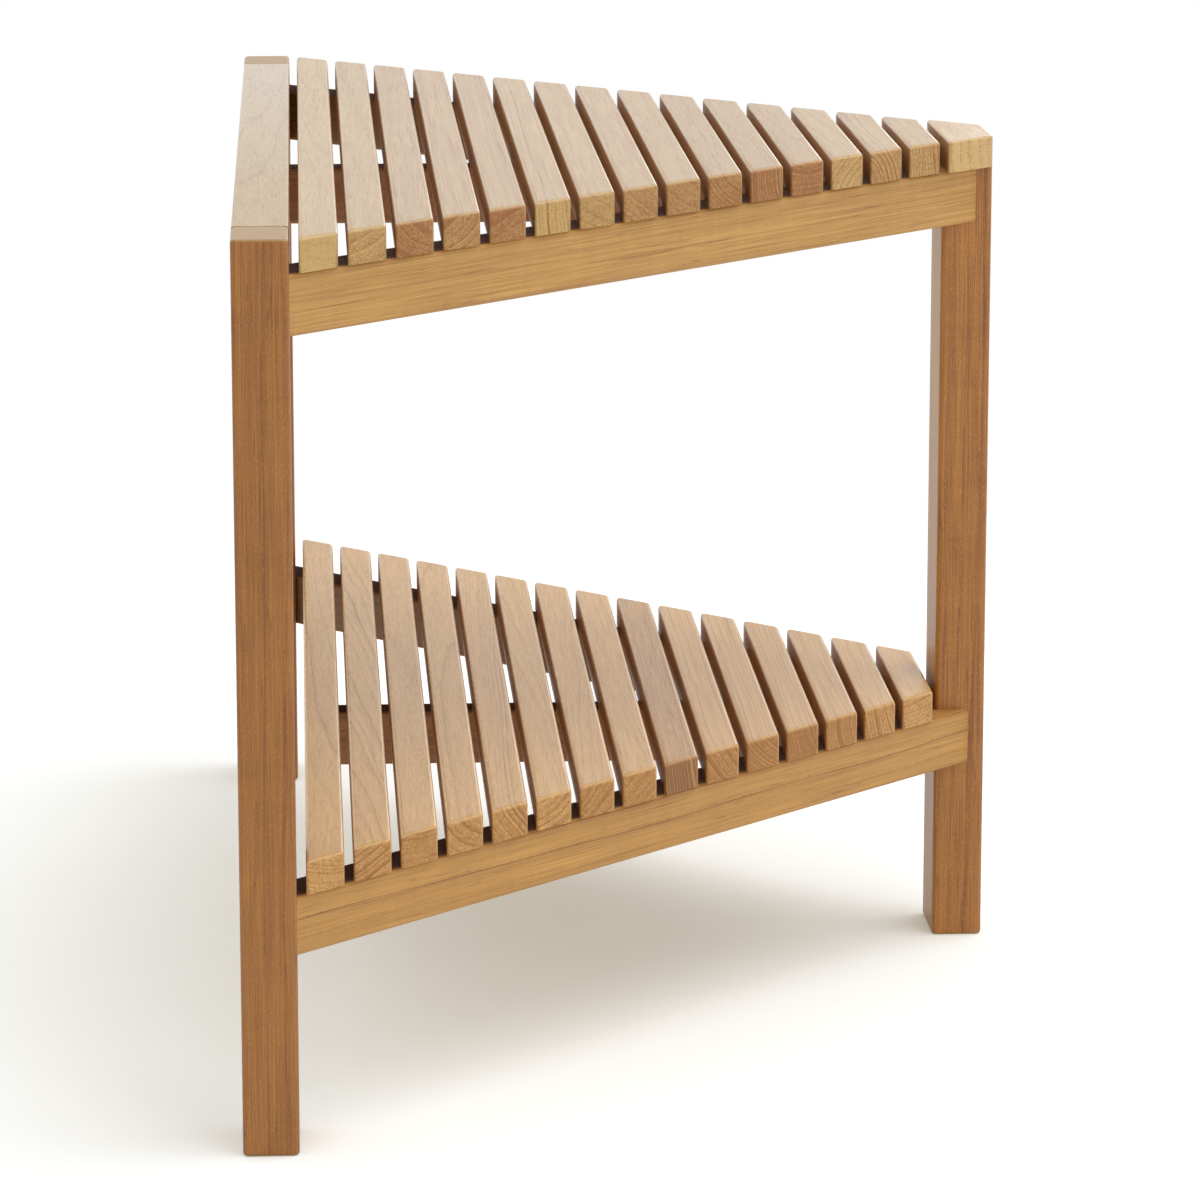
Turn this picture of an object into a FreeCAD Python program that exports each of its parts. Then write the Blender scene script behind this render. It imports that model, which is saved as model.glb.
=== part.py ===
import FreeCAD, Part
import os
import Sketcher
from FreeCAD import Rotation, Vector

# A three-legged teak corner bench with a slatted seat and a slatted shelf below it.
# X runs along the slats, the long front side faces -Y, the wall corner is at +Y and Z is up.
# The origin is on the floor, under the middle of the whole bench. Lengths are in millimetres.

doc = FreeCAD.newDocument("corner_bench")

SIZES = (
    ("bench_length", "816"),          # along the front, over the outer ends of the front legs
    ("seat_height", "457"),           # floor to the top of the seat
    ("shelf_height", "149"),          # floor to the top of the shelf slats
    ("leg_width", "28"),              # leg section, front to back; the front rail and the cap share it
    ("leg_depth", "47"),              # leg section, along the front
    ("leg_round", "3"),               # rounding of the four long leg edges
    ("leg_end_round", "2"),           # rounding round the leg tops and feet
    ("slat_count", "15"),             # slats in the seat, and again in the shelf
    ("slat_width", "19"),
    ("slat_thickness", "17.2"),       # the corner cap is as thick
    ("slat_overhang", "4"),           # slat ends past the outer face of the side rails
    ("slat_bevel", "1.2"),            # eased top and end edges of the slats
    ("edge_round", "1.5"),            # rounded edges of the cap and the front rail
    ("cap_overhang", "1"),            # cap past the back edges of the corner leg
    ("cap_corner_round", "9"),        # the two back corners of the cap, seen from above
    ("rail_thickness", "25"),         # slanted side rails
    ("rail_height", "31"),            # side rails and braces
    ("rail_landing", "9.2"),          # back face of the corner leg to the outer face of a side rail
    ("rail_round", "2.5"),            # rounded long edges of side rails and braces
    ("brace_width", "20"),
    ("shelf_brace_setback", "2"),     # shelf brace behind the front edge of the first slat
    ("tenon_length", "15"),
    ("tenon_thickness", "10"),
    ("tenon_shoulder", "6"),          # above and below a tenon
    ("cap_tenon_height", "10"),       # stub on top of the corner leg
    ("cap_tenon_shoulder", "8"),      # all round that stub
    ("loose_tenon_length", "26"),     # half in the side rail and half in the leg
    ("loose_tenon_thickness", "8"),
    ("pin_width", "1.6"),             # steel slat pins of rectangular section
    ("pin_thickness", "1.4"),
    ("pin_bite", "12"),               # how far a pin reaches into its slat
    ("joint_clearance", "0.15"),      # round every tenon and pin
)

# What follows from those sizes. The slat ends lie on 45 degree lines from the legs' inner corners,
# and the bench is as deep as it takes for the side rails to land on the sides of the corner leg.
DERIVED = (
    ("rail_start_x", "Sizes.bench_length / 2 - Sizes.slat_overhang * sqrt(2)"),
    ("rail_run", "rail_start_x - Sizes.leg_depth / 2"),
    ("rail_length", "rail_run * sqrt(2)"),
    ("bench_depth", "Sizes.leg_width + rail_run + Sizes.rail_landing"),
    ("front_y", "-bench_depth / 2"),
    ("leg_inner_y", "front_y + Sizes.leg_width"),
    ("corner_y", "bench_depth / 2 - Sizes.leg_width"),
    ("slats_wide", "Sizes.slat_count * Sizes.slat_width"),
    ("slat_gap", "(corner_y - leg_inner_y - slats_wide) / (Sizes.slat_count + 1)"),
    ("slat_pitch", "Sizes.slat_width + slat_gap"),
    ("first_slat_y", "leg_inner_y + slat_gap"),
    ("first_slat_half", "Sizes.bench_length / 2 - slat_gap"),
    ("first_pin_y", "first_slat_y + Sizes.slat_width / 2"),
    ("first_pin_x", "rail_start_x - (first_pin_y - leg_inner_y) - Sizes.rail_thickness / sqrt(2)"),
    ("loose_tenon_inset", "(Sizes.leg_width - Sizes.rail_landing) / 2"),
    ("seat_bearing_z", "Sizes.seat_height - Sizes.slat_thickness"),
    ("shelf_bearing_z", "Sizes.shelf_height - Sizes.slat_thickness"),
    ("front_rail_height", "Sizes.slat_thickness + Sizes.rail_height"),
    ("front_rail_half", "Sizes.bench_length / 2 - Sizes.leg_depth"),
    ("cap_back_half", "Sizes.leg_depth / 2 + Sizes.cap_overhang"),
)

# Axes, the angles of a right side rail and of a brace to the front, in degrees, and what counts as the
# same place when edges are sorted.
AXIS_X = 0
AXIS_Y = 1
RAIL_ANGLE = 135
BRACE_ANGLE = 90
SAME_PLACE = 1e-4
NO_ALLOWANCE = "0"
FIT_ALLOWANCE = "Sizes.joint_clearance"
TENON_HEIGHT = "Sizes.rail_height - 2 * Sizes.tenon_shoulder"

sizes = doc.addObject("Spreadsheet::Sheet", "Sizes")
for row, (alias, number) in enumerate(SIZES, start=1):
    sizes.set(f"A{row}", alias)
    sizes.set(f"B{row}", number)
    sizes.setAlias(f"B{row}", alias)
doc.recompute()

derived = doc.addObject("App::VarSet", "Derived")
for name, formula in DERIVED:
    derived.addProperty("App::PropertyFloat", name)
    derived.setExpression(name, formula)
doc.recompute()

pieces = []


def bind(thing, **formulas):
    """Tie properties to formulas; place_x stands for the x of the placement, and so on."""
    for prop, formula in formulas.items():
        prop = prop.replace("place_", "Placement.Base.")
        thing.setExpression(prop, formula)


def new_body(name, x, y, z, turn=0):
    body = doc.addObject("PartDesign::Body", name)
    body.Placement.Rotation = Rotation(Vector(0, 0, 1), turn)
    bind(body, place_x=x, place_y=y, place_z=z)
    return body


def origin_feature(body, role):
    return next(item for item in body.Origin.OriginFeatures if item.Role == role)


def outline(body, corners):
    """A closed straight-sided sketch on the body's ground plane, whose corners are pairs of formulas."""
    sketch = body.newObject("Sketcher::SketchObject", body.Name + "_outline")
    sketch.AttachmentSupport = (origin_feature(body, "XY_Plane"), [""])
    sketch.MapMode = "FlatFace"
    points = [Vector(sketch.evalExpression(x), sketch.evalExpression(y), 0) for x, y in corners]
    for start, end in zip(points, points[1:] + points[:1]):
        sketch.addGeometry(Part.LineSegment(start, end))
    for line in range(len(points)):
        following = (line + 1) % len(points)
        sketch.addConstraint(Sketcher.Constraint("Coincident", line, 2, following, 1))
    for line, (point, formulas) in enumerate(zip(points, corners)):
        for way, value, formula in zip(("DistanceX", "DistanceY"), point, formulas):
            index = sketch.addConstraint(Sketcher.Constraint(way, -1, 1, line, 1, value))
            sketch.setExpression(f"Constraints[{index}]", formula)
    return sketch


def pad(body, corners, height):
    """An upright prism on that outline."""
    feature = body.newObject("PartDesign::Pad", body.Name + "_pad")
    feature.Profile = outline(body, corners)
    bind(feature, Length=height)
    doc.recompute()
    return feature


def rectangle(length, width):
    return (("0", "0"), (length, "0"), (length, width), ("0", width))


def edge_span(edge):
    return edge.Vertexes[-1].Point - edge.Vertexes[0].Point


def is_upright(edge):
    return abs(edge_span(edge).z) > SAME_PLACE


def lies_along(axis):
    def test(edge):
        span = edge_span(edge)
        across = [abs(span[other]) for other in range(3) if other != axis]
        return max(across) < SAME_PLACE
    return test


def lies_level(height):
    def test(edge):
        return all(abs(vertex.Z - height) < SAME_PLACE for vertex in edge.Vertexes)
    return test


def picked(feature, wanted):
    edges = enumerate(feature.Shape.Edges, start=1)
    return (feature, [f"Edge{number}" for number, edge in edges if wanted(edge)])


def ease(body, feature, radius, wanted):
    """Round the edges of a feature that the test picks out."""
    fillet = body.newObject("PartDesign::Fillet", body.Name + "_round")
    fillet.Base = picked(feature, wanted)
    bind(fillet, Radius=radius)
    doc.recompute()
    return fillet


def bevel(body, feature, size, wanted):
    """Bevel the edges of a feature that the test picks out."""
    chamfer = body.newObject("PartDesign::Chamfer", body.Name + "_bevel")
    chamfer.Base = picked(feature, wanted)
    bind(chamfer, Size=size)
    doc.recompute()
    return chamfer


def block(name, middle, size, allowance, turn=0):
    """A tenon about its middle, or with an allowance on every side the mortise that takes it."""
    box = doc.addObject("Part::Box", name)
    box.Placement.Rotation = Rotation(Vector(0, 0, 1), turn)
    length, width, height = (f"({formula} + 2 * {allowance})" for formula in size)
    bind(box, Length=length, Width=width, Height=height)
    across = f"({length} * cos({turn}) - {width} * sin({turn})) / 2"
    deep = f"({length} * sin({turn}) + {width} * cos({turn})) / 2"
    middle_x, middle_y, middle_z = middle
    bind(
        box,
        place_x=f"{middle_x} - {across}",
        place_y=f"{middle_y} - {deep}",
        place_z=f"{middle_z} - {height} / 2",
    )
    return box


def group(name, members):
    bundle = doc.addObject("Part::Compound", name)
    bundle.Links = members
    return bundle


def mirrored(name, source):
    """The left-hand copy of a right-hand piece."""
    copy = doc.addObject("Part::Mirroring", name)
    copy.Source = source
    copy.Normal = Vector(1, 0, 0)
    return copy


def keep(label, thing):
    thing.Label = label
    pieces.append(thing)
    return thing


def finished(label, body, tenons=(), hollows=()):
    """A finished piece: the body with its tenons added, and its mortises and bores cut out."""
    whole = body
    if tenons:
        whole = doc.addObject("Part::MultiFuse", label + "_joined")
        whole.Shapes = [body, *tenons]
    if hollows:
        cut = doc.addObject("Part::Cut", label + "_cut")
        cut.Base = whole
        cut.Tool = group(label + "_hollows", list(hollows))
        whole = cut
    return keep(label, whole)


def pin_row(name, x, z, turn, spacing, allowance):
    """Pins from below, one under each slat, or with an allowance the bores that take them."""
    body = new_body(name, x, "Derived.first_pin_y", z, turn)
    wide = f"(Sizes.pin_width / 2 + {allowance})"
    thick = f"(Sizes.pin_thickness / 2 + {allowance})"
    corners = (("-" + wide, "-" + thick), (wide, "-" + thick), (wide, thick), ("-" + wide, thick))
    pin = pad(body, corners, f"Sizes.rail_height + Sizes.pin_bite + {allowance}")
    pattern = body.newObject("PartDesign::LinearPattern", name + "_row")
    pattern.Originals = [pin]
    pattern.Direction = (origin_feature(body, "X_Axis"), [""])
    pattern.Mode = "Spacing"
    bind(pattern, Offset=spacing, Occurrences="Sizes.slat_count")
    body.Tip = pattern
    doc.recompute()
    return body


def rail_tenons(name, rail_z, allowance):
    """The loose tenons at the two ends of a right side rail, or with an allowance their mortises."""
    corner_end_y = "Derived.leg_inner_y + Derived.rail_run - Derived.loose_tenon_inset"
    ends = (
        ("front", "Derived.rail_start_x - Derived.loose_tenon_inset", "Derived.leg_inner_y"),
        ("corner", "Sizes.leg_depth / 2", corner_end_y),
    )
    size = ("Sizes.loose_tenon_length", "Sizes.loose_tenon_thickness", TENON_HEIGHT)
    middle_z = f"{rail_z} + Sizes.rail_height / 2"
    tenons = [block(f"{name}_{end}", (x, y, middle_z), size, allowance, RAIL_ANGLE) for end, x, y in ends]
    return group(name, tenons)


def slat(label, number, bearing_z, bores):
    step = f"{number} * Derived.slat_pitch"
    body = new_body(label + "_form", "0", f"Derived.first_slat_y + {step}", bearing_z)
    front = f"Derived.first_slat_half - {step}"
    back = f"{front} - Sizes.slat_width"
    corners = (
        (f"-({front})", "0"),
        (front, "0"),
        (back, "Sizes.slat_width"),
        (f"-({back})", "Sizes.slat_width"),
    )
    feature = pad(body, corners, "Sizes.slat_thickness")
    below = lies_level(feature.Shape.BoundBox.ZMin)
    bevel(body, feature, "Sizes.slat_bevel", lambda edge: not below(edge))
    return finished(label, body, hollows=bores)


def side_rail(label, rail_z, hollows):
    body = new_body(label + "_form", "Derived.rail_start_x", "Derived.leg_inner_y", rail_z, RAIL_ANGLE)
    thick = "Sizes.rail_thickness"
    corners = (
        ("0", "0"),
        ("Derived.rail_length", "0"),
        (f"Derived.rail_length - {thick}", thick),
        (thick, thick),
    )
    feature = pad(body, corners, "Sizes.rail_height")
    ease(body, feature, "Sizes.rail_round", lies_along(AXIS_X))
    return finished(label, body, hollows=hollows)


def brace(label, start_y, rail_z, tenons, hollows):
    body = new_body(label + "_form", "-Sizes.brace_width / 2", start_y, rail_z)
    length = f"Derived.corner_y - ({start_y})"
    feature = pad(body, rectangle("Sizes.brace_width", length), "Sizes.rail_height")
    ease(body, feature, "Sizes.rail_round", lies_along(AXIS_Y))
    return finished(label, body, tenons, hollows)


def leg_body(name, x, y, height, rounded_top):
    body = new_body(name, x, y, "0")
    feature = pad(body, rectangle("Sizes.leg_depth", "Sizes.leg_width"), height)
    rounded = ease(body, feature, "Sizes.leg_round", is_upright)
    box = rounded.Shape.BoundBox
    at_foot = lies_level(box.ZMin)
    at_top = lies_level(box.ZMax)
    ease(body, rounded, "Sizes.leg_end_round", lambda edge: at_foot(edge) or rounded_top and at_top(edge))
    return body


def brace_tenon(name, middle_y, rail_z, allowance):
    middle = ("0", middle_y, f"{rail_z} + Sizes.rail_height / 2")
    size = ("Sizes.tenon_thickness", "Sizes.tenon_length", TENON_HEIGHT)
    return block(name, middle, size, allowance)


def front_rail_tenon(name, middle_x, allowance):
    middle_y = "Derived.front_y + Sizes.leg_width / 2"
    middle_z = "Sizes.seat_height - Derived.front_rail_height / 2"
    tenon_height = "Derived.front_rail_height - 2 * Sizes.tenon_shoulder"
    size = ("Sizes.tenon_length", "Sizes.tenon_thickness", tenon_height)
    return block(name, (middle_x, middle_y, middle_z), size, allowance)


def cap_tenon(name, allowance):
    around = "2 * Sizes.cap_tenon_shoulder"
    middle_z = "Derived.seat_bearing_z + Sizes.cap_tenon_height / 2"
    middle = ("0", "Derived.corner_y + Sizes.leg_width / 2", middle_z)
    size = (f"Sizes.leg_depth - {around}", f"Sizes.leg_width - {around}", "Sizes.cap_tenon_height")
    return block(name, middle, size, allowance)


def deck(name, bearing_z, brace_start, brace_tenons):
    """One level of the bench: its slats, side rails, brace, loose tenons and pins."""
    rail_z = f"{bearing_z} - Sizes.rail_height"
    rail_row = ("Derived.first_pin_x", rail_z, RAIL_ANGLE, "Derived.slat_pitch * sqrt(2)")
    brace_row = ("0", rail_z, BRACE_ANGLE, "Derived.slat_pitch")

    rail_bores = pin_row(name + "_rail_bores", *rail_row, FIT_ALLOWANCE)
    brace_bores = pin_row(name + "_brace_bores", *brace_row, FIT_ALLOWANCE)
    bores = [rail_bores, mirrored(name + "_rail_bores_left", rail_bores), brace_bores]
    for number in range(int(sizes.slat_count)):
        slat(f"{name}_slat_{number + 1:02d}", number, bearing_z, bores)

    mortises = rail_tenons(name + "_rail_mortises", rail_z, FIT_ALLOWANCE)
    right_rail = side_rail(name + "_side_rail_right", rail_z, [mortises, rail_bores])
    keep(name + "_side_rail_left", mirrored(name + "_side_rail_left", right_rail))
    brace(name + "_brace", brace_start, rail_z, brace_tenons, [brace_bores])

    tenons = rail_tenons(name + "_tenons_right", rail_z, NO_ALLOWANCE)
    tenon_group = group(name + "_rail_tenons", [tenons, mirrored(name + "_tenons_left", tenons)])
    keep(name + "_rail_tenons", tenon_group)

    rail_pins = pin_row(name + "_pins_right", *rail_row, NO_ALLOWANCE)
    brace_pins = pin_row(name + "_pins_middle", *brace_row, NO_ALLOWANCE)
    pins = [rail_pins, mirrored(name + "_pins_left", rail_pins), brace_pins]
    keep(name + "_slat_pins", group(name + "_slat_pins", pins))
    return mortises


# The seat, whose brace is tenoned into the front rail and the corner leg.
seat_rail_z = "Derived.seat_bearing_z - Sizes.rail_height"
front_joint_y = "Derived.leg_inner_y - Sizes.tenon_length / 2"
corner_joint_y = "Derived.corner_y + Sizes.tenon_length / 2"
seat_brace_tenons = [
    brace_tenon("seat_brace_front_tenon", front_joint_y, seat_rail_z, NO_ALLOWANCE),
    brace_tenon("seat_brace_back_tenon", corner_joint_y, seat_rail_z, NO_ALLOWANCE),
]
seat_front_mortise = brace_tenon("seat_brace_front_mortise", front_joint_y, seat_rail_z, FIT_ALLOWANCE)
seat_back_mortise = brace_tenon("seat_brace_back_mortise", corner_joint_y, seat_rail_z, FIT_ALLOWANCE)
seat_rail_mortises = deck("seat", "Derived.seat_bearing_z", "Derived.leg_inner_y", seat_brace_tenons)

# The shelf, whose brace starts under its first slat and is tenoned into the corner leg alone.
shelf_rail_z = "Derived.shelf_bearing_z - Sizes.rail_height"
shelf_brace_start = "Derived.first_slat_y + Sizes.shelf_brace_setback"
shelf_brace_tenons = [brace_tenon("shelf_brace_tenon", corner_joint_y, shelf_rail_z, NO_ALLOWANCE)]
shelf_mortise = brace_tenon("shelf_brace_mortise", corner_joint_y, shelf_rail_z, FIT_ALLOWANCE)
shelf_rail_mortises = deck("shelf", "Derived.shelf_bearing_z", shelf_brace_start, shelf_brace_tenons)

# The wide front rail, level with the leg tops.
front_rail = new_body(
    "seat_front_rail_form",
    "-Derived.front_rail_half",
    "Derived.front_y",
    "Sizes.seat_height - Derived.front_rail_height",
)
front_rail_pad = pad(
    front_rail,
    rectangle("2 * Derived.front_rail_half", "Sizes.leg_width"),
    "Derived.front_rail_height",
)
ease(front_rail, front_rail_pad, "Sizes.edge_round", lies_along(AXIS_X))
front_rail_joint_x = "(Derived.front_rail_half + Sizes.tenon_length / 2)"
front_rail_tenons = [
    front_rail_tenon("front_rail_right_tenon", front_rail_joint_x, NO_ALLOWANCE),
    front_rail_tenon("front_rail_left_tenon", "-" + front_rail_joint_x, NO_ALLOWANCE),
]
finished("seat_front_rail", front_rail, front_rail_tenons, [seat_front_mortise])

# The front legs, which take the front rail's tenons and the side rails' loose tenons.
front_leg = leg_body(
    "front_leg_form",
    "Derived.front_rail_half",
    "Derived.front_y",
    "Sizes.seat_height",
    True,
)
front_mortise = front_rail_tenon("front_rail_mortise", front_rail_joint_x, FIT_ALLOWANCE)
front_leg_right = finished(
    "front_leg_right",
    front_leg,
    hollows=[front_mortise, seat_rail_mortises, shelf_rail_mortises],
)
keep("front_leg_left", mirrored("front_leg_left", front_leg_right))

# The corner leg, which carries the cap on a stub tenon.
corner_leg = leg_body(
    "corner_leg_form",
    "-Sizes.leg_depth / 2",
    "Derived.corner_y",
    "Derived.seat_bearing_z",
    False,
)
corner_mortises = [
    seat_rail_mortises,
    shelf_rail_mortises,
    mirrored("seat_rail_mortises_left", seat_rail_mortises),
    mirrored("shelf_rail_mortises_left", shelf_rail_mortises),
    seat_back_mortise,
    shelf_mortise,
]
finished("corner_leg", corner_leg, [cap_tenon("corner_leg_stub", NO_ALLOWANCE)], corner_mortises)

# The corner cap: a strip with mitred ends and two rounded back corners.
cap = new_body("seat_corner_cap_form", "0", "Derived.corner_y", "Derived.seat_bearing_z")
cap_front_half = "Derived.cap_back_half + Sizes.leg_width"
cap_pad = pad(
    cap,
    (
        (f"-({cap_front_half})", "0"),
        (cap_front_half, "0"),
        ("Derived.cap_back_half", "Sizes.leg_width"),
        ("-Derived.cap_back_half", "Sizes.leg_width"),
    ),
    "Sizes.slat_thickness",
)
cap_box = cap_pad.Shape.BoundBox
cap_on_top = lies_level(cap_box.ZMax)


def at_cap_back(edge):
    return is_upright(edge) and edge.Vertexes[0].Y > cap_box.Center.y


def at_cap_front(edge):
    return is_upright(edge) and edge.Vertexes[0].Y < cap_box.YMin + SAME_PLACE


cap_corners = ease(cap, cap_pad, "Sizes.cap_corner_round", at_cap_back)
ease(cap, cap_corners, "Sizes.edge_round", lambda edge: cap_on_top(edge) or at_cap_front(edge))
finished("seat_corner_cap", cap, hollows=[cap_tenon("cap_mortise", FIT_ALLOWANCE)])

doc.recompute()

failed = [item.Label for item in doc.Objects if {"Invalid", "Error"} & set(item.State)]
failed += [item.Label for item in pieces if item.Shape.isNull() or not item.Shape.isValid()]
if failed:
    raise RuntimeError("these did not build: " + ", ".join(failed))

os.makedirs("parts", exist_ok=True)
for item in pieces:
    item.Shape.exportStep(f"parts/{item.Label}.step")
    print(f"{item.Label}: {len(item.Shape.Solids)} solids, {item.Shape.Volume:.0f} mm3")
print(f"{len(pieces)} nodes, depth {derived.bench_depth:.2f}, slat gap {derived.slat_gap:.3f}")
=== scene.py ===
import math
from typing import NamedTuple

import bmesh
import bpy
from mathutils import Euler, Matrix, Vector


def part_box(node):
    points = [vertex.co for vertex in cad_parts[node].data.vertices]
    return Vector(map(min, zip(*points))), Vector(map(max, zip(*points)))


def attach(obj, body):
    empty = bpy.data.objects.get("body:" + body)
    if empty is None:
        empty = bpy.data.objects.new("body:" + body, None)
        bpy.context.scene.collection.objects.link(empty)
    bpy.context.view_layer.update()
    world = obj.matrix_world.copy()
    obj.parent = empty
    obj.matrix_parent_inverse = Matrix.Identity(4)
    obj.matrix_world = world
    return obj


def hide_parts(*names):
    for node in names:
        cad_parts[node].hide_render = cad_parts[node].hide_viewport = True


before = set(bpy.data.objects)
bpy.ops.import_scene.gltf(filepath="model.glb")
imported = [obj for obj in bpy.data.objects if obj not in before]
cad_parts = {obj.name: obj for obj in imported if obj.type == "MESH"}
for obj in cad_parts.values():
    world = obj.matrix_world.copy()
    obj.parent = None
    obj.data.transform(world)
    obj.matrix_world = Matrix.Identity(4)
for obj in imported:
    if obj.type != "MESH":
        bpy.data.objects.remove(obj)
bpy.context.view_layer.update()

# A three-legged corner bench in sanded, lightly oiled teak.
# X runs along the slats, the long front side faces -Y and the wall corner is at +Y. Lengths are in metres,
# but the figure of the wood is measured in millimetres, with its x along the grain.

MM = 0.001
BODY = "root"
RIGHT = (1, 0, 0)
FRONT = (0, -1, 0)
BACK = (0, 1, 0)
UP = (0, 0, 1)
WHITE = (1, 1, 1, 1)

# Rounded edges of the slats: the sanded top and end edges, and the barely broken edges below.
SLAT_ROUND = 2.0 * MM
SLAT_LOWER_ROUND = 0.5 * MM
ROUND_STEPS = 4
ROUND_PROFILE = 0.5
# A face this close to one of a slat's flat sides, as a cosine, is shaded flat.
FLAT_COSINE = 0.999


class Figure(NamedTuple):
    """How one piece was cut from its tree, with y and z across its grain."""

    tone: float  # how brown its ends are
    heart_angle: float  # where the heart of the tree lay, in degrees round the piece's end from y to z
    heart_away: float  # how far off the heart lay, in millimetres
    ring_width: float  # in millimetres
    rings: float  # how clearly the rings show


# The slats from the front to the corner, each as the numbers of a Figure. Their y points to the corner,
# their z up.
SEAT_SLATS = (
    (-0.76, 75, 90, 4.5, 0.30),
    (-0.29, 115, 60, 6.5, 0.50),
    (0.22, 50, 70, 3.0, 0.40),
    (0.00, 130, 40, 5.0, 0.50),
    (0.24, 120, 80, 8.0, 0.50),
    (-0.62, 8, 90, 1.8, 1.00),
    (-0.30, 60, 45, 4.0, 0.40),
    (-0.05, 40, 70, 3.2, 0.50),
    (-0.03, 55, 80, 4.0, 0.40),
    (0.17, 38, 60, 1.9, 1.00),
    (0.29, 12, 70, 2.0, 0.90),
    (0.28, 80, 30, 2.6, 0.50),
    (-0.48, -40, 28, 3.2, 0.80),
    (-0.21, 215, 30, 2.4, 1.00),
    (-0.28, 5, 90, 2.0, 0.90),
)
SHELF_SLATS = (
    (-0.30, 70, 80, 2.2, 0.50),
    (-0.17, 120, 70, 3.2, 0.60),
    (-0.07, 80, 90, 5.0, 0.40),
    (-0.20, 70, 34, 3.8, 0.40),
    (-0.17, 20, 70, 2.0, 1.00),
    (-0.28, 120, 30, 4.2, 0.55),
    (-0.08, 135, 60, 3.4, 0.50),
    (-0.08, 130, 70, 3.0, 0.50),
    (1.15, 8, 90, 1.8, 1.00),
    (0.00, 35, 40, 2.6, 0.70),
    (0.11, 40, 60, 1.9, 1.00),
    (0.20, 15, 45, 2.0, 0.90),
    (-0.03, 8, 90, 2.0, 0.80),
    (-0.21, 12, 80, 2.4, 0.70),
    (-0.28, 100, 60, 3.0, 0.50),
)


def linear(*screen):
    """A colour picked as red, green and blue from 0 to 255 on screen, as the shader wants it."""
    shares = [value / 255 for value in screen]
    light = [s / 12.92 if s <= 0.04045 else ((s + 0.055) / 1.055) ** 2.4 for s in shares]
    return (*light, 1.0)


class Finish(NamedTuple):
    """How the wood of one kind of piece is coloured and finished, and where light and shade are painted on
    it.
    """

    pale: tuple
    deep: tuple
    top_roughness: float
    side_roughness: float
    contrast: float
    brown_ends: float = 0.18  # how much browner the end grain is
    painted_end_sheen: float = 0.0  # how much painted sheen turns the end grain cream
    flecks: float = 0.0  # how much the light flecks and the ripple across the grain show
    sides: tuple = None  # a painted light and sheen colour for the two sides along the grain
    front: tuple = None  # a painted light colour for the front, which fades towards the floor where shade falls
    painted_shade_inside: bool = False  # painted shade on the inner side, and on top as far as the slats go
    painted_edge_highlight: float = 0.0  # how strongly a painted highlight, partly rubbed wear, lies along the upper edges
    worn_right: float = 0.0  # how much rougher the right end is than the middle, and the left end smoother
    lean: float = 1.0  # how far the grain runs out of line


# Colours of the figure: pores, the darkest wood, and the light early wood and flecks.
PORE_BROWN = linear(92, 54, 27)
UMBER = linear(104, 68, 40)
RING_GOLD = linear(226, 176, 104)
# Colours painted on some faces, and the shares that are mixed in. The side colours are painted light and
# sheen on the sides along the grain.
# The front colour is painted light, with the share of a side at its top and a low one near the floor, where
# shade falls.
SIDE_SHEEN_RED = linear(184, 136, 104)
SIDE_SHEEN_GOLD = linear(206, 150, 84)
SIDE_SHARE = 0.6
# Painted light for a front, fading to painted shade near the floor.
FRONT_PAINTED_LIGHT = linear(222, 185, 112)
LOW_FRONT_LIGHT_SHARE = 0.12
# Painted sheen: the cream that end grain takes, as it shows on the leg tops.
END_SHEEN_CREAM = linear(174, 136, 68)
# A painted highlight on the upper edges, partly rubbed wear.
EDGE_HIGHLIGHT_GOLD = linear(238, 202, 146)
# Painted shade: dark colours for the inner sides, and for the rail tops under the slats, where shade falls.
INNER_PAINTED_SHADE = linear(92, 62, 48)
TOP_PAINTED_SHADE = linear(94, 64, 50)
PAINTED_SHADE_SHARE = 0.75

# Slats, cap, front rail and leg tops are sanded smooth. Side rails and braces are rough on top.
# The sides of the slats, and of the front rail, take a painted light and sheen colour.
# The slats' upper edges take a painted highlight, partly rubbed wear.
SLAT = Finish(
    pale=linear(192, 160, 98),
    deep=linear(146, 88, 36),
    top_roughness=0.25,
    side_roughness=0.48,
    contrast=0.90,
    brown_ends=0.26,
    sides=SIDE_SHEEN_RED,
    painted_edge_highlight=0.15,
)
# The shelf slats are a paler copy of the seat's teak, partly painted light that makes up for the light the
# seat keeps off them.
SHELF_SLAT = Finish(
    pale=linear(233, 188, 118),
    deep=linear(156, 101, 38),
    top_roughness=0.32,
    side_roughness=0.48,
    contrast=0.60,
    brown_ends=0.50,
    sides=SIDE_SHEEN_RED,
    painted_edge_highlight=0.18,
)
CAP = SLAT._replace(pale=linear(203, 169, 111))
BOARD = Finish(
    pale=linear(193, 163, 109),
    deep=linear(140, 101, 61),
    top_roughness=0.24,
    side_roughness=0.42,
    contrast=0.90,
    sides=SIDE_SHEEN_GOLD,
    worn_right=0.06,
)
# The legs' end grain takes a painted sheen in cream.
POST = Finish(
    pale=linear(186, 125, 53),
    deep=linear(120, 67, 23),
    top_roughness=0.34,
    side_roughness=0.40,
    contrast=0.85,
    painted_end_sheen=0.70,
    flecks=0.30,
    lean=0.4,
)
# The corner leg's front takes painted light, fading to painted shade near the floor.
CORNER_POST = POST._replace(contrast=1.10, flecks=0.45, front=FRONT_PAINTED_LIGHT)
# The rails take painted shade on their inner sides and on their tops under the slats.
RAIL = Finish(
    pale=linear(209, 161, 88),
    deep=linear(134, 84, 40),
    top_roughness=0.85,
    side_roughness=0.48,
    contrast=0.80,
    flecks=0.25,
    painted_shade_inside=True,
    lean=0.25,
)
SHELF_RAIL = RAIL._replace(pale=linear(207, 156, 80))
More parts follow.
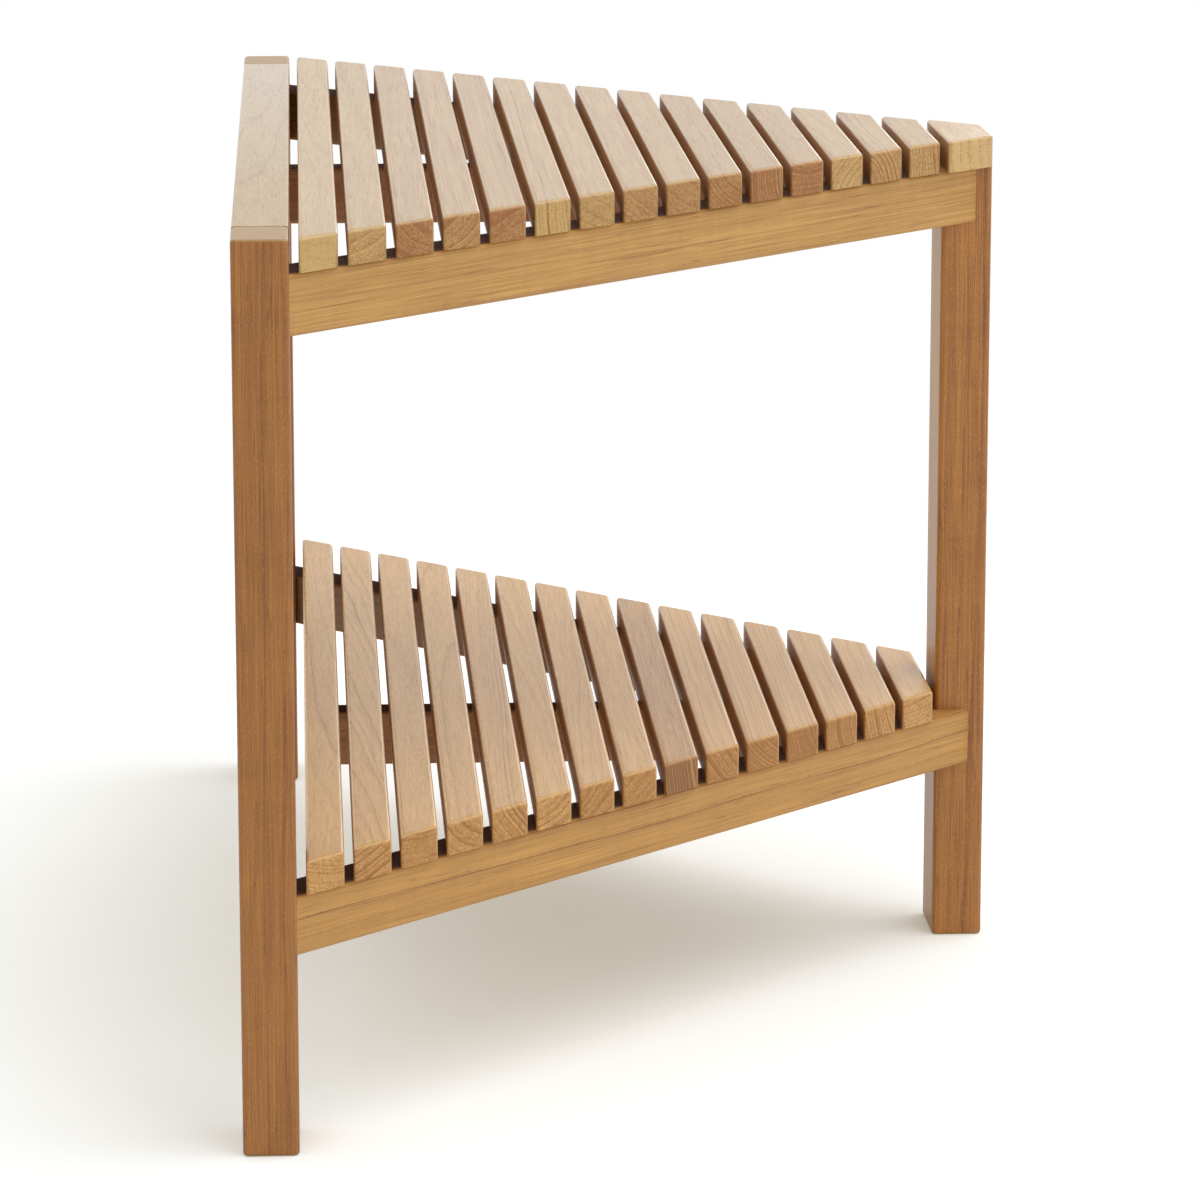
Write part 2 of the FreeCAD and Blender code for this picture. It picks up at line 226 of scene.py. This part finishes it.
# The braces are coloured darker than the rails: painted shade for the dim space under the seat.
BRACE = Finish(
    pale=linear(172, 118, 76),
    deep=linear(112, 70, 42),
    top_roughness=0.85,
    side_roughness=0.55,
    contrast=1.00,
    painted_shade_inside=True,
)

# Turns, in degrees, that lay the grain along a piece.
ALONG_FRONT = (0, 0, 0)
FRONT_TO_BACK = (0, 0, 90)
UPRIGHT = (0, -90, 0)
RIGHT_SLANT = (0, 0, 135)
LEFT_SLANT = (0, 0, -135)

# The other wooden pieces: the finish, the turn of the grain and the numbers of a Figure.
FRAME_PIECES = {
    "front_leg_right": (POST, UPRIGHT, 0.90, 20, 55, 7.0, 0.3),
    "front_leg_left": (POST, UPRIGHT, 0.80, 160, 60, 6.0, 0.3),
    "corner_leg": (CORNER_POST, UPRIGHT, 0.10, 35, 70, 6.0, 0.6),
    "seat_front_rail": (BOARD, ALONG_FRONT, -0.10, 250, 60, 5.0, 0.5),
    "seat_side_rail_right": (RAIL, RIGHT_SLANT, -0.10, 250, 70, 3.6, 0.7),
    "seat_side_rail_left": (RAIL, LEFT_SLANT, -0.05, 260, 80, 3.6, 0.7),
    "seat_brace": (BRACE, FRONT_TO_BACK, 0.10, 30, 60, 4.0, 0.8),
    "seat_corner_cap": (CAP, ALONG_FRONT, -0.80, 4, 90, 6.0, 0.60),
    "seat_rail_tenons": (POST, UPRIGHT, 0.0, 45, 60, 3.0, 0.8),
    "shelf_side_rail_right": (SHELF_RAIL, RIGHT_SLANT, -0.10, 215, 60, 6.0, 0.7),
    "shelf_side_rail_left": (SHELF_RAIL, LEFT_SLANT, 0.0, 240, 70, 4.0, 0.8),
    "shelf_brace": (BRACE, FRONT_TO_BACK, 0.10, 150, 60, 4.0, 0.8),
    "shelf_rail_tenons": (POST, UPRIGHT, 0.0, 45, 60, 3.0, 0.8),
}


class Shader:
    """A node tree, and the few calls that fill it."""

    def __init__(self, tree):
        self.tree = tree
        tree.nodes.clear()

    def add(self, kind, inputs, **settings):
        node = self.tree.nodes.new(kind)
        for name, value in settings.items():
            setattr(node, name, value)
        for key, value in inputs.items():
            if isinstance(value, bpy.types.NodeSocket):
                self.tree.links.new(value, node.inputs[key])
            else:
                node.inputs[key].default_value = value
        return node

    def math(self, operation, *values):
        return self.add("ShaderNodeMath", dict(enumerate(values)), operation=operation).outputs[0]

    def vector(self, operation, *values):
        node = self.add("ShaderNodeVectorMath", dict(enumerate(values)), operation=operation)
        return node.outputs["Value" if operation in ("LENGTH", "DOT_PRODUCT") else "Vector"]

    def ramp(self, value, low, high, to_low=0.0, to_high=1.0):
        """Value from low to high becomes to_low to to_high, with soft ends."""
        inputs = {"Value": value, "From Min": low, "From Max": high, "To Min": to_low, "To Max": to_high}
        return self.add("ShaderNodeMapRange", inputs, interpolation_type="SMOOTHSTEP").outputs[0]

    def mix(self, factor, first, second):
        """A colour between two. The node's sockets 6 and 7, and its output 2, are its colours."""
        return self.add("ShaderNodeMix", {0: factor, 6: first, 7: second}, data_type="RGBA").outputs[2]

    def total(self, start, parts):
        """Start, plus each part times its share."""
        for part, share in parts:
            start = self.math("MULTIPLY_ADD", part, share, start)
        return start


class Streak(NamedTuple):
    """Noise drawn out along the grain."""

    length: float  # in millimetres
    width: float  # in millimetres
    detail: float
    roughness: float
    salt: float  # sets it apart from the others


class Dash(NamedTuple):
    """Scattered short strokes along the grain."""

    length: float  # in millimetres
    width: float  # in millimetres
    salt: float  # sets it apart from the others


WAVES = Streak(220, 30, 1.0, 0.6, 0.0)
BANDS = Streak(600, 9, 2.5, 0.6, 3.1)
CLOUDS = Streak(70, 14, 2.0, 0.6, 7.7)
HAIR = Streak(220, 0.45, 1.0, 0.5, 11.3)
FIBRES = Streak(90, 0.9, 1.0, 0.5, 17.9)
VEINS = Streak(260, 5, 2.0, 0.55, 23.9)
RIPPLE = Streak(8, 40, 1.0, 0.5, 41.3)
SAW_MARKS = Streak(40, 1.1, 2.0, 0.7, 47.1)
PORES = Dash(5, 0.45, 5.9)
FLECKS = Dash(2.5, 0.6, 29.3)

# How far, in millimetres, rings wave along the grain and drift from an even width, and how fast they drift.
RING_WAVE = 7.0
RING_DRIFT = 7.0
DRIFT_PER_MM = 0.11
# Stretches of a ring, from 0 to 1: it opens with pores, darkens slowly and may close with a hairline.
EARLY_WOOD = (0.0, 0.18)
LATE_WOOD = (0.45, 0.97)
HAIRLINE = (0.88, 0.97)
# Each ring has its own luck: the least that it shows, and the luck that gives it a hairline.
FAINTEST_RING = 0.3
LUCKY_RING = (0.35, 0.9)
# How much rings and tone count on long grain and on end grain.
RING_SHARES = (0.28, 0.75)
TONE_SHARES = (0.20, 0.80)
# Where wood of middling tone lies between pale and deep, and where past deep it turns to umber.
MIDDLING_DEPTH = 0.34
UMBER_DEPTHS = (1.0, 2.4)
UMBER_SHARE = 0.7
# How softly veins, pores and flecks end.
VEIN_EDGE = 0.012
PORE_EDGE = 0.10
FLECK_EDGE = (0.10, 0.30)
# The size of pores in late wood, as a share of their cells, and how much they grow in early wood.
PORE_SIZE = 0.10
PORE_GROWTH = 0.26
# How much ripple and hairlines darken the wood, and how much pores and early wood take their own colour.
RIPPLE_SHARE = 0.5
HAIRLINE_SHARE = 0.45
PORE_SHARE = 0.40
EARLY_GOLD_SHARE = 0.75
# How much pores and hair roughen the surface.
PORE_ROUGHENING = 0.20
HAIR_ROUGHENING = 0.15
# Strides that take each piece to its own place in the noise.
SEED_STRIDES = (917, 373, 539)

FIGURE_INPUTS = {
    "NodeSocketVector": ("Place", "Heart"),
    "NodeSocketFloat": (
        "Ring width",
        "Seed",
        "Tone",
        "End tone",
        "Rings",
        "Flecks",
        "Contrast",
        "End grain",
    ),
    "NodeSocketColor": ("Pale", "Deep"),
}
FIGURE_OUTPUTS = {
    "NodeSocketColor": ("Color",),
    "NodeSocketFloat": ("Roughening", "Height"),
}


def teak_figure():
    """The figure of teak at a place in the tree: growth rings, bands, fibres, pores and light flecks."""
    tree = bpy.data.node_groups.new("teak_figure", "ShaderNodeTree")
    for way, sockets in (("INPUT", FIGURE_INPUTS), ("OUTPUT", FIGURE_OUTPUTS)):
        for kind, names in sockets.items():
            for name in names:
                tree.interface.new_socket(name, in_out=way, socket_type=kind)
    shader = Shader(tree)
    given = shader.add("NodeGroupInput", {}).outputs
    place = given["Place"]
    end_grain = given["End grain"]
    seeds = shader.add("ShaderNodeCombineXYZ", {axis: given["Seed"] for axis in "XYZ"}).outputs[0]
    lookup = shader.vector("MULTIPLY_ADD", seeds, SEED_STRIDES, place)

    def cells(mark):
        """Places in units of a mark's length and width."""
        sizes = (1 / mark.length, 1 / mark.width, 1 / mark.width)
        return shader.vector("MULTIPLY_ADD", lookup, sizes, (mark.salt, mark.salt, mark.salt))

    def streaks(mark):
        inputs = {
            "Vector": cells(mark),
            "Scale": 1.0,
            "Detail": mark.detail,
            "Roughness": mark.roughness,
        }
        return shader.add("ShaderNodeTexNoise", inputs).outputs

    def centred(mark):
        return shader.math("SUBTRACT", streaks(mark)["Fac"], 0.5)

    def dashes(mark):
        return shader.add("ShaderNodeTexVoronoi", {"Vector": cells(mark), "Scale": 1.0}).outputs["Distance"]

    # Growth rings round the heart, a little wavy and of uneven width, most of them faint.
    wave = shader.vector("SUBTRACT", streaks(WAVES)["Color"], (0.5, 0.5, 0.5))
    waved = shader.vector("MULTIPLY_ADD", wave, (0, RING_WAVE, RING_WAVE), place)
    spoke = shader.vector("MULTIPLY", shader.vector("SUBTRACT", waved, given["Heart"]), (0, 1, 1))
    radius = shader.vector("LENGTH", spoke)
    drift = shader.add(
        "ShaderNodeTexNoise",
        {"W": shader.math("MULTIPLY_ADD", radius, DRIFT_PER_MM, given["Seed"]), "Scale": 1.0},
        noise_dimensions="1D",
    ).outputs["Fac"]
    drifted = shader.math("MULTIPLY_ADD", drift, RING_DRIFT, radius)
    count = shader.math("DIVIDE", drifted, given["Ring width"])
    ring = shader.math("FRACT", count)
    ring_number = shader.math("ADD", shader.math("FLOOR", count), given["Seed"])
    luck = shader.add("ShaderNodeTexWhiteNoise", {"W": ring_number}, noise_dimensions="1D").outputs[0]
    late = shader.ramp(ring, *LATE_WOOD)
    early = shader.ramp(ring, *EARLY_WOOD, 1.0, 0.0)
    shown = shader.math("MULTIPLY_ADD", luck, 1 - FAINTEST_RING, FAINTEST_RING)
    clear = shader.math("MULTIPLY", given["Rings"], shown)
    ring_depth = shader.math("MULTIPLY", late, clear)
    marked = shader.math("MULTIPLY", shader.ramp(luck, *LUCKY_RING), given["Rings"])
    hairlines = shader.math("MULTIPLY", shader.ramp(ring, *HAIRLINE), marked)
    long_grain = shader.math("SUBTRACT", 1.0, end_grain)

    # Marks along the grain. Saw marks show on the ends alone.
    hair = centred(HAIR)
    veins = shader.ramp(shader.math("ABSOLUTE", centred(VEINS)), 0.0, VEIN_EDGE, 1.0, 0.0)
    saw_marks = shader.math("MULTIPLY", centred(SAW_MARKS), end_grain)
    pore_size = shader.math("MULTIPLY_ADD", early, PORE_GROWTH, PORE_SIZE)
    pores = shader.ramp(shader.math("SUBTRACT", pore_size, dashes(PORES)), 0.0, PORE_EDGE)
    flecks = shader.ramp(dashes(FLECKS), *FLECK_EDGE, 1.0, 0.0)
    mark_shares = (
        (centred(BANDS), 0.45),
        (centred(CLOUDS), 0.35),
        (hair, 0.9),
        (centred(FIBRES), 0.6),
        (veins, 0.35),
        (saw_marks, 1.6),
    )
    grain = shader.total(0.0, mark_shares)

    # Depth is 0 in the pale wood and 1 in the deep.
    tone_share = shader.ramp(end_grain, 0.0, 1.0, *TONE_SHARES)
    depth_shares = (
        (grain, given["Contrast"]),
        (shader.math("MULTIPLY", centred(RIPPLE), RIPPLE_SHARE), given["Flecks"]),
        (ring_depth, shader.ramp(end_grain, 0.0, 1.0, *RING_SHARES)),
        (shader.math("MULTIPLY", hairlines, long_grain), HAIRLINE_SHARE),
        (end_grain, given["End tone"]),
    )
    depth = shader.math("MULTIPLY_ADD", given["Tone"], tone_share, MIDDLING_DEPTH)
    depth = shader.total(depth, depth_shares)
    wood = shader.mix(depth, given["Pale"], given["Deep"])
    wood = shader.mix(shader.ramp(depth, *UMBER_DEPTHS, 0.0, UMBER_SHARE), wood, UMBER)
    wood = shader.mix(shader.math("MULTIPLY", pores, PORE_SHARE), wood, PORE_BROWN)

    # Gold in the early wood of the ends, and in the flecks.
    early_gold = shader.math("MULTIPLY", shader.math("MULTIPLY", early, clear), end_grain)
    early_gold = shader.math("MULTIPLY", early_gold, EARLY_GOLD_SHARE)
    fleck_gold = shader.math("MULTIPLY", flecks, given["Flecks"])
    wood = shader.mix(shader.math("MAXIMUM", early_gold, fleck_gold), wood, RING_GOLD)

    roughening = shader.total(0.0, ((pores, PORE_ROUGHENING), (hair, HAIR_ROUGHENING)))
    height = shader.math("SUBTRACT", hair, pores)
    shader.add("NodeGroupOutput", {"Color": wood, "Roughening": roughening, "Height": height})
    return tree


# How squarely a face looks a way to count as end grain, side, inner side or top, as two cosines: where it
# starts to count, and where it counts in full. Upper edges come in and go out again between two such pairs.
END_GRAIN = (0.35, 0.65)
SIDE = (0.85, 0.99)
INNER_SIDE = (0.5, 0.9)
SHADED_UPPER_SIDE = (0.55, 0.95)
SANDED_TOP = (0.05, 0.45)
EDGE_FROM = (0.2, 0.5)
EDGE_TO = (0.9, 0.99)

# Where the painted light on a front fades, as shares of its height, and how softly the painted shade on the
# rail tops ends past the last slat.
FRONT_LIGHT_SHARES = (0.25, 0.75)
SHADED_TOP_FADE = 2 * MM
# How far the grain may lean, in radians about the piece's axes, and how the lean varies with the seed.
GRAIN_LEAN = Vector((0, 0.035, 0.03))
LEAN_PER_SEED = 2.4
# Edges are rubbed smoother, and the grain stands a little in relief under the oil.
EDGE_POLISH = 0.04
RELIEF = 0.2 * MM
RELIEF_STRENGTH = 0.30
OIL_IOR = 1.5


class PieceShader(Shader):
    """The shader of one wooden piece, which knows where on the piece it is and which way that faces."""

    def __init__(self, tree, name, finish, turn):
        super().__init__(tree)
        self.name = name
        self.finish = finish
        self.low, self.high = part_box(name)
        self.rotation = Euler(math.radians(angle) for angle in turn)
        axes = self.rotation.to_matrix()
        self.inward = axes @ Vector((0, 1, 0))
        self.coordinates = self.add("ShaderNodeTexCoord", {}).outputs["Object"]
        self.normal = self.add("ShaderNodeNewGeometry", {}).outputs["Normal"]
        along_grain = self.math("ABSOLUTE", self.facing(axes @ Vector((1, 0, 0))))
        self.end_grain = self.ramp(along_grain, *END_GRAIN)
        self.up = self.facing(UP)
        past_side = self.ramp(self.up, *EDGE_FROM)
        short_of_top = self.ramp(self.up, *EDGE_TO, 1.0, 0.0)
        self.edge = self.math("MULTIPLY", past_side, short_of_top)

    def along(self, way):
        """How far a point lies along a way, in metres."""
        return self.vector("DOT_PRODUCT", self.coordinates, way)

    def facing(self, way):
        """1 where the surface looks that way, 0 where it lies along it, -1 where it looks away."""
        return self.vector("DOT_PRODUCT", self.normal, way)

    def cut_wood(self, figure, seed):
        """The figure of the wood, cut from the piece's own place in a tree."""
        lean = GRAIN_LEAN * self.finish.lean * math.sin(seed * LEAN_PER_SEED)
        mapping = {
            "Vector": self.coordinates,
            "Location": (self.low + self.high) / 2,
            "Rotation": Vector(self.rotation) + lean,
            "Scale": (MM, MM, MM),
        }
        angle = math.radians(figure.heart_angle)
        inputs = {
            "Place": self.add("ShaderNodeMapping", mapping, vector_type="TEXTURE").outputs[0],
            "Heart": (0, figure.heart_away * math.cos(angle), figure.heart_away * math.sin(angle)),
            "Ring width": figure.ring_width,
            "Seed": seed,
            "Tone": figure.tone,
            "End tone": self.finish.brown_ends,
            "Rings": figure.rings,
            "Flecks": self.finish.flecks,
            "Contrast": self.finish.contrast,
            "End grain": self.end_grain,
            "Pale": self.finish.pale,
            "Deep": self.finish.deep,
        }
        return self.add("ShaderNodeGroup", inputs, node_tree=FIGURE).outputs

    # Painted sheen: the end grain turns cream.
    def painted_end_sheen(self, colour):
        share = self.math("MULTIPLY", self.end_grain, self.finish.painted_end_sheen)
        return self.mix(share, colour, END_SHEEN_CREAM)

    # Painted light and sheen on the sides along the grain.
    def painted_side_light(self, colour):
        sides = self.math("ABSOLUTE", self.facing(self.inward))
        return self.mix(self.ramp(sides, *SIDE, 0.0, SIDE_SHARE), colour, self.finish.sides)

    # Painted light on the front, fading to painted shade near the floor.
    def painted_front_light(self, colour):
        front = self.ramp(self.facing(FRONT), *SIDE)
        heights = (share * self.high.z for share in FRONT_LIGHT_SHARES)
        share = self.ramp(self.along(UP), *heights, LOW_FRONT_LIGHT_SHARE, SIDE_SHARE)
        return self.mix(self.math("MULTIPLY", front, share), colour, self.finish.front)

    # Painted shade on the inner side, and on the top as far as the slats reach, where shade falls.
    def painted_shade(self, colour):
        inner = self.ramp(self.facing(self.inward), *INNER_SIDE)
        colour = self.mix(self.math("MULTIPLY", inner, PAINTED_SHADE_SHARE), colour, INNER_PAINTED_SHADE)
        last_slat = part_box(self.name.split("_")[0] + "_slat_15")[1].y
        fade = (last_slat - SHADED_TOP_FADE, last_slat + SHADED_TOP_FADE)
        under_slats = self.ramp(self.along(BACK), *fade, 1.0, 0.0)
        shaded_top = self.math("MULTIPLY", self.ramp(self.up, *SHADED_UPPER_SIDE), under_slats)
        return self.mix(shaded_top, colour, TOP_PAINTED_SHADE)

    # A painted highlight along the upper edges, partly rubbed wear.
    def painted_edge_highlight(self, colour):
        return self.mix(self.math("MULTIPLY", self.edge, self.finish.painted_edge_highlight), colour, EDGE_HIGHLIGHT_GOLD)

    def finished(self, colour):
        """The colour of the figure, with the painted light, shade, sheen and highlights that the finish
        asks for.
        """
        if self.finish.painted_end_sheen:
            colour = self.painted_end_sheen(colour)
        if self.finish.sides:
            colour = self.painted_side_light(colour)
        if self.finish.front:
            colour = self.painted_front_light(colour)
        if self.finish.painted_shade_inside:
            colour = self.painted_shade(colour)
        if self.finish.painted_edge_highlight:
            colour = self.painted_edge_highlight(colour)
        return colour

    def roughness(self):
        finish = self.finish
        rough = self.ramp(self.up, *SANDED_TOP, finish.side_roughness, finish.top_roughness)
        if finish.worn_right:
            ends = (self.low.x, self.high.x)
            wear = self.ramp(self.along(RIGHT), *ends, -finish.worn_right, finish.worn_right)
            rough = self.math("ADD", rough, wear)
        return self.math("MULTIPLY_ADD", self.edge, -EDGE_POLISH, rough)


def new_material(name):
    material = bpy.data.materials.new(name)
    material.use_nodes = True
    return material


def teak(name, finish, turn, figure, seed):
    """The wood of one piece."""
    material = new_material(name + "_teak")
    shader = PieceShader(material.node_tree, name, finish, turn)
    wood = shader.cut_wood(figure, seed)
    relief = shader.add(
        "ShaderNodeBump",
        {"Height": wood["Height"], "Strength": RELIEF_STRENGTH, "Distance": RELIEF},
    )
    surface = shader.add(
        "ShaderNodeBsdfPrincipled",
        {
            "Base Color": shader.finished(wood["Color"]),
            "Roughness": shader.math("ADD", wood["Roughening"], shader.roughness()),
            "IOR": OIL_IOR,
            "Normal": relief.outputs[0],
        },
    )
    shader.add("ShaderNodeOutputMaterial", {"Surface": surface.outputs[0]})
    return material


# Draw marks on the steel pins: how many to the metre across and along the pins.
DRAW_MARKS = (9000, 9000, 300)
DRAW_MARK_DETAIL = 2.0
DRAW_MARK_SPAN = (0.2, 0.8)
STEEL_LIGHT = linear(190, 190, 188)
STEEL_DARK = linear(150, 150, 150)
STEEL_ROUGHNESS = (0.25, 0.45)


def satin_steel():
    """Satin stainless steel with fine draw marks along the pins."""
    material = new_material("pin_steel_satin")
    shader = Shader(material.node_tree)
    coordinates = shader.add("ShaderNodeTexCoord", {}).outputs["Object"]
    cells = shader.vector("MULTIPLY", coordinates, DRAW_MARKS)
    noise = {"Vector": cells, "Scale": 1.0, "Detail": DRAW_MARK_DETAIL}
    marks = shader.add("ShaderNodeTexNoise", noise).outputs["Fac"]
    surface = shader.add(
        "ShaderNodeBsdfPrincipled",
        {
            "Base Color": shader.mix(marks, STEEL_LIGHT, STEEL_DARK),
            "Roughness": shader.ramp(marks, *DRAW_MARK_SPAN, *STEEL_ROUGHNESS),
            "Metallic": 1.0,
        },
    )
    shader.add("ShaderNodeOutputMaterial", {"Surface": surface.outputs[0]})
    return material


def new_object(name, form, material):
    mesh = bpy.data.meshes.new(name)
    form.to_mesh(mesh)
    form.free()
    mesh.materials.append(material)
    made = bpy.data.objects.new(name, mesh)
    bpy.context.scene.collection.objects.link(made)
    return made


def rounded_slat(node, material):
    """A mitred slat in its CAD place, with sanded edges that turn over in a smooth round."""
    low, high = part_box(node)
    back_half = high.x - (high.y - low.y)
    outline = ((-high.x, low.y), (high.x, low.y), (back_half, high.y), (-back_half, high.y))
    form = bmesh.new()
    foot = form.faces.new([form.verts.new((x, y, low.z)) for x, y in outline])
    raised = bmesh.ops.extrude_face_region(form, geom=[foot])["geom"]
    for part in raised:
        if isinstance(part, bmesh.types.BMVert):
            part.co.z = high.z
    bmesh.ops.recalc_face_normals(form, faces=form.faces)
    flats = [face.normal.copy() for face in form.faces]
    lower = [edge for edge in form.edges if all(vert.co.z == low.z for vert in edge.verts)]
    upper = [edge for edge in form.edges if edge not in lower]
    for edges, size in ((upper, SLAT_ROUND), (lower, SLAT_LOWER_ROUND)):
        edges = [edge for edge in edges if edge.is_valid]
        bmesh.ops.bevel(
            form,
            geom=edges,
            offset=size,
            segments=ROUND_STEPS,
            profile=ROUND_PROFILE,
            affect="EDGES",
            clamp_overlap=True,
        )
    form.normal_update()
    for face in form.faces:
        face.smooth = max(face.normal.dot(flat) for flat in flats) < FLAT_COSINE
    piece = new_object(node + "_rounded", form, material)
    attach(piece, BODY)
    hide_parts(node)


FIGURE = teak_figure()
# Each wooden piece takes the next seed.
FIRST_SEED = 1.0
SEED_STEP = 1.37

# The slats of both levels.
seed = FIRST_SEED
for level, finish, slats in (("seat", SLAT, SEAT_SLATS), ("shelf", SHELF_SLAT, SHELF_SLATS)):
    for number, figure in enumerate(slats, start=1):
        node = f"{level}_slat_{number:02d}"
        seed += SEED_STEP
        rounded_slat(node, teak(node, finish, ALONG_FRONT, Figure(*figure), seed))

# The legs, rails, braces, cap and tenons keep their CAD shape.
for node, (finish, turn, *figure) in FRAME_PIECES.items():
    seed += SEED_STEP
    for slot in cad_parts[node].material_slots:
        slot.material = teak(node, finish, turn, Figure(*figure), seed)

# The steel pins keep theirs too.
STEEL = satin_steel()
for node in ("seat_slat_pins", "shelf_slat_pins"):
    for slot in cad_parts[node].material_slots:
        slot.material = STEEL

# The studio: a white surround, a pale floor that keeps the shadow, and soft lamps.
# The surround is seen as white, and lights the bench with this strength.
SURROUND_LIGHT = 0.76
FLOOR_HALF = 6.0
# The floor's colour for light on its way, its colour as it is seen, and a glow that lifts the shadow.
FLOOR_WHITE = (0.82, 0.82, 0.82, 1.0)
FLOOR_SEEN = (0.98, 0.98, 1.0, 1.0)
FLOOR_GLOW = (0.171, 0.190, 0.155, 1.0)
# The floor fades to white between these distances from the middle.
SHADOW_REACH = (0.65, 1.45)
# Each lamp's place, width and power in watts. All look at the middle of the bench.
MIDDLE = Vector((0.0, 0.0, 0.25))
LAMPS = {
    "key": ((-0.1, 1.1, 2.6), 3.0, 34),
    "front": ((2.4, 1.2, 0.9), 1.2, 9),
    "rim": ((-2.8, 0.9, 0.8), 0.6, 2),
}


def seen_rays(shader):
    """1 for what the camera, a reflection or a clear piece sees, 0 for light on its way."""
    path = shader.add("ShaderNodeLightPath", {}).outputs
    rays = shader.math("MAXIMUM", path["Is Camera Ray"], path["Is Glossy Ray"])
    return shader.math("MAXIMUM", rays, path["Is Transmission Ray"])


def white_surround():
    world = bpy.data.worlds.new("studio")
    bpy.context.scene.world = world
    world.use_nodes = True
    shader = Shader(world.node_tree)
    strength = shader.ramp(seen_rays(shader), 0.0, 1.0, SURROUND_LIGHT, 1.0)
    background = shader.add("ShaderNodeBackground", {"Color": WHITE, "Strength": strength})
    shader.add("ShaderNodeOutputWorld", {"Surface": background.outputs[0]})


def pale_floor():
    form = bmesh.new()
    bmesh.ops.create_grid(form, x_segments=1, y_segments=1, size=FLOOR_HALF)
    material = new_material("pale_floor")
    shader = Shader(material.node_tree)
    seen = seen_rays(shader)
    coordinates = shader.add("ShaderNodeTexCoord", {}).outputs["Object"]
    far = shader.ramp(shader.vector("LENGTH", coordinates), *SHADOW_REACH)
    matt = shader.add("ShaderNodeBsdfDiffuse", {"Color": shader.mix(seen, FLOOR_WHITE, FLOOR_SEEN)})
    glow = shader.add("ShaderNodeEmission", {"Color": FLOOR_GLOW, "Strength": seen})
    near_floor = shader.add("ShaderNodeAddShader", {0: matt.outputs[0], 1: glow.outputs[0]})
    white = shader.add("ShaderNodeEmission", {"Color": WHITE, "Strength": 1.0})
    fade = shader.add(
        "ShaderNodeMixShader",
        {0: shader.math("MULTIPLY", far, seen), 1: near_floor.outputs[0], 2: white.outputs[0]},
    )
    shader.add("ShaderNodeOutputMaterial", {"Surface": fade.outputs[0]})
    new_object("floor", form, material)


def look_from(holder, place, aim):
    """Puts a lamp or camera in its place and turns it to what it looks at."""
    holder.location = place
    holder.rotation_mode = "QUATERNION"
    holder.rotation_quaternion = (aim - Vector(place)).to_track_quat("-Z", "Y")
    bpy.context.scene.collection.objects.link(holder)


def soft_lamp(name, place, width, power):
    lamp = bpy.data.lights.new(name, "AREA")
    lamp.size = width
    lamp.energy = power
    holder = bpy.data.objects.new(name, lamp)
    holder.visible_camera = False
    look_from(holder, place, MIDDLE)


white_surround()
pale_floor()
for name, lamp in LAMPS.items():
    soft_lamp(name, *lamp)

# The camera, as far off and as high as the photograph's, with lens and sensor in millimetres.
CAMERA_PLACE = (2.9042, -0.1742, 0.8129)
CAMERA_AIM = Vector((0.0, -0.0080, 0.1924))
CAMERA_LENS = 158.1
CAMERA_SENSOR = 36.0

camera = bpy.data.objects.new("camera", bpy.data.cameras.new("camera"))
camera.data.sensor_width = CAMERA_SENSOR
camera.data.lens = CAMERA_LENS
look_from(camera, CAMERA_PLACE, CAMERA_AIM)
bpy.context.scene.camera = camera

bpy.context.scene.view_settings.view_transform = "Standard"

bpy.context.view_layer.update()
